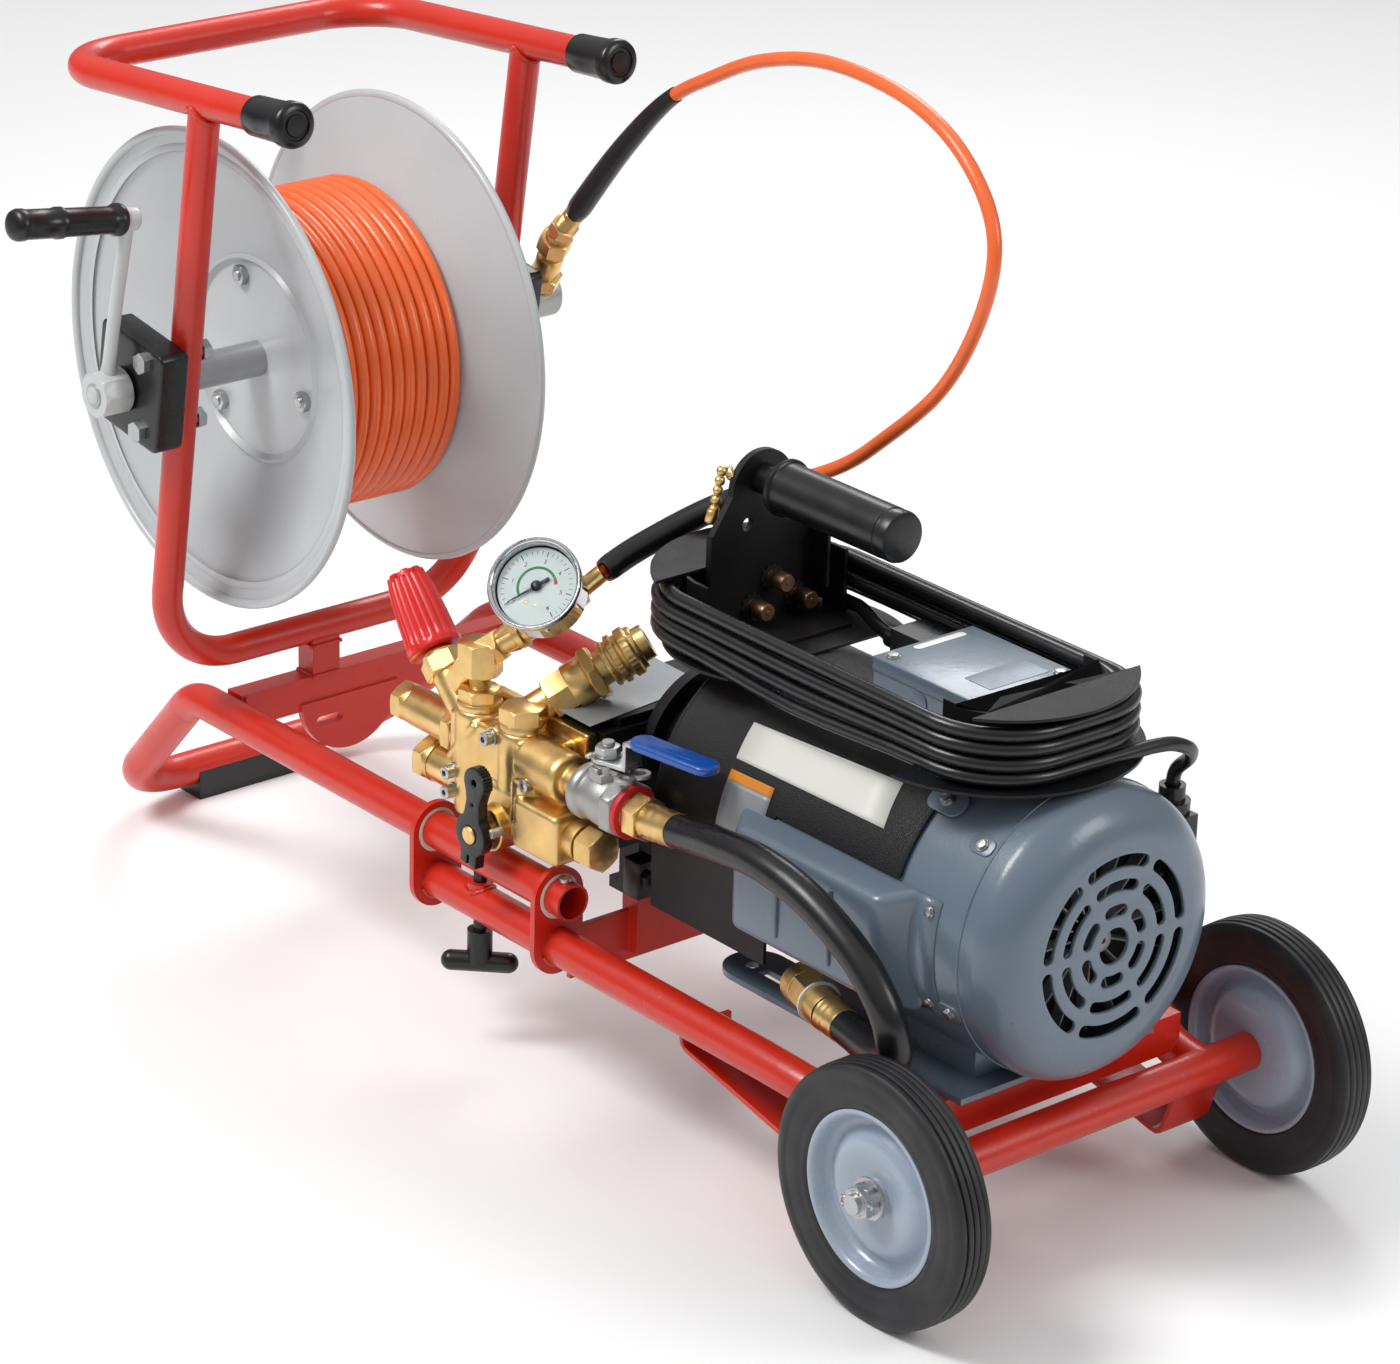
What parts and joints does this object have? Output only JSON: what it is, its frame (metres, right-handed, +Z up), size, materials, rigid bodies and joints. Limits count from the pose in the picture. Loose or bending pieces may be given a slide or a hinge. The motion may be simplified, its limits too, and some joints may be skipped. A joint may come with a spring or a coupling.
{
  "type": "pressure washer",
  "caption": "Electric drain jetter on a red tube cart with a cranked hose reel, motor, brass plunger pump and coiled leader hose",
  "frame": {"origin": "centre of the foot pad's underside, on the floor", "axes": "+X along the cart towards the wheels, +Y towards the side away from the pump head, +Z up"},
  "size_m": [0.983, 0.5138, 0.6637],
  "materials": {
    "red_paint": "gloss powder coat",
    "bush_nylon": "moulded",
    "zinc_steel": "bright zinc",
    "black_handle": "satin moulded",
    "shaft_steel": "turned",
    "flange_paint": "satin enamel",
    "tyre_rubber": "ribbed",
    "black_rubber": "satin",
    "hose_orange": "smooth jacket",
    "crank_paint": "satin enamel",
    "grey_blue_paint": "satin enamel",
    "black_wrinkle": "wrinkle finish",
    "brass": "machined",
    "nickel": "satin nickel",
    "knob_red": "moulded, fluted",
    "chrome": "polished",
    "dial_white": "printed",
    "needle_black": "satin",
    "dial_glass": "clear",
    "lever_blue": "dipped"
  },
  "bodies": {
    "chassis": {"drive_frame": "red_paint", "guide_bushes": "bush_nylon", "axle_rod": "zinc_steel", "motor_base": "grey_blue_paint", "motor_shell": "grey_blue_paint", "motor_bell": "grey_blue_paint", "capacitor_cover": "grey_blue_paint", "saddle_cover": "black_wrinkle", "cord_wrap": "black_wrinkle", "handle_plate": "black_wrinkle", "carry_grip": "black_rubber", "spray_nozzles": "brass", "nozzle_chain": "brass", "switch_box": "grey_blue_paint", "switch_lid": "grey_blue_paint", "power_cord": "black_rubber", "power_plug": "black_handle", "cord_gland": "black_handle", "pump_crankcase": "black_wrinkle", "pump_manifold": "brass", "manifold_caps": "brass", "pump_screws": "zinc_steel", "outlet_tee": "brass", "gauge_case": "chrome", "gauge_dial": "dial_white", "gauge_glass": "dial_glass", "quick_coupler": "brass", "ball_valve": "nickel", "inlet_hose": "black_rubber", "inlet_ends": "brass", "leader_hose": "hose_orange", "leader_sleeves": "black_rubber"},
    "reel_half": {"reel_carriage": "red_paint", "foot_pad": "black_rubber", "reel_stand": "red_paint", "handle_caps": "black_rubber", "reel_bearings": "black_handle", "stand_bolts": "zinc_steel", "swivel_body": "nickel", "swivel_fitting": "brass"},
    "reel": {"reel_shaft": "shaft_steel", "reel_hub": "flange_paint", "flange_near": "flange_paint", "flange_far": "flange_paint", "flange_bolts": "zinc_steel", "wound_hose": "hose_orange", "crank_arm": "crank_paint"},
    "crank": {"crank_grip": "black_handle"},
    "near_wheel": {"wheel_near": "flange_paint", "tyre_near": "tyre_rubber"},
    "far_wheel": {"wheel_far": "flange_paint", "tyre_far": "tyre_rubber"},
    "near_clamp": {"clamp_screw_near": "black_handle"},
    "far_clamp": {"clamp_screw_far": "black_handle"},
    "rotor": {"motor_rotor": "shaft_steel"},
    "unloader": {"unloader_knob": "knob_red"},
    "needle": {"gauge_needle": "needle_black"},
    "coupler_ring": {"coupler_sleeve": "brass"},
    "pulse_valve": {"pulse_lever": "black_handle"},
    "inlet_valve": {"valve_lever": "lever_blue"}
  },
  "joints": [
    {"name": "cart_slide", "type": "slide", "parent": "chassis", "child": "reel_half", "axis": [1, 0, 0], "range_m": [0, 0.06], "deforming": ["leader_hose", "leader_sleeves"]},
    {"name": "reel_spin", "type": "hinge", "parent": "reel_half", "child": "reel", "pos_m": [0.17, 0, 0.4], "axis": [0, 1, 0], "continuous": true},
    {"name": "grip_spin", "type": "hinge", "parent": "reel", "child": "crank", "pos_m": [0.194, -0.2284, 0.526], "axis": [0.0983, -0.9827, 0.1572], "continuous": true},
    {"name": "near_wheel_spin", "type": "hinge", "parent": "chassis", "child": "near_wheel", "pos_m": [0.886, -0.1625, 0.084], "axis": [0, 1, 0], "continuous": true},
    {"name": "far_wheel_spin", "type": "hinge", "parent": "chassis", "child": "far_wheel", "pos_m": [0.886, 0.1625, 0.084], "axis": [0, 1, 0], "continuous": true},
    {"name": "near_clamp_turn", "type": "hinge", "parent": "chassis", "child": "near_clamp", "pos_m": [0.454, -0.134, 0.0615], "axis": [0, 0, 1], "range_deg": [-180, 180]},
    {"name": "far_clamp_turn", "type": "hinge", "parent": "chassis", "child": "far_clamp", "pos_m": [0.454, 0.134, 0.0615], "axis": [0, 0, 1], "range_deg": [-180, 180]},
    {"name": "rotor_spin", "type": "hinge", "parent": "chassis", "child": "rotor", "pos_m": [0.79, -0.01, 0.215], "axis": [1, 0, 0], "continuous": true},
    {"name": "unloader_turn", "type": "hinge", "parent": "chassis", "child": "unloader", "pos_m": [0.3845, -0.118, 0.255], "axis": [-0.7129, 0.0829, 0.6963], "range_deg": [-180, 180]},
    {"name": "needle_turn", "type": "hinge", "parent": "chassis", "child": "needle", "pos_m": [0.486, -0.118, 0.338], "axis": [-0.3954, 0.6716, -0.6266], "range_deg": [0, 270]},
    {"name": "coupler_slide", "type": "slide", "parent": "chassis", "child": "coupler_ring", "axis": [-0.42, -0.7399, -0.5255], "range_m": [0, 0.005], "stiffness_N_per_m": 900, "springref_m": -0.003},
    {"name": "pulse_turn", "type": "hinge", "parent": "chassis", "child": "pulse_valve", "pos_m": [0.482, -0.157, 0.172], "axis": [0, 1, 0], "range_deg": [-90, 0]},
    {"name": "inlet_turn", "type": "hinge", "parent": "chassis", "child": "inlet_valve", "pos_m": [0.577, -0.128, 0.2493], "axis": [0, 0, 1], "range_deg": [-90, 0]}
  ]
}
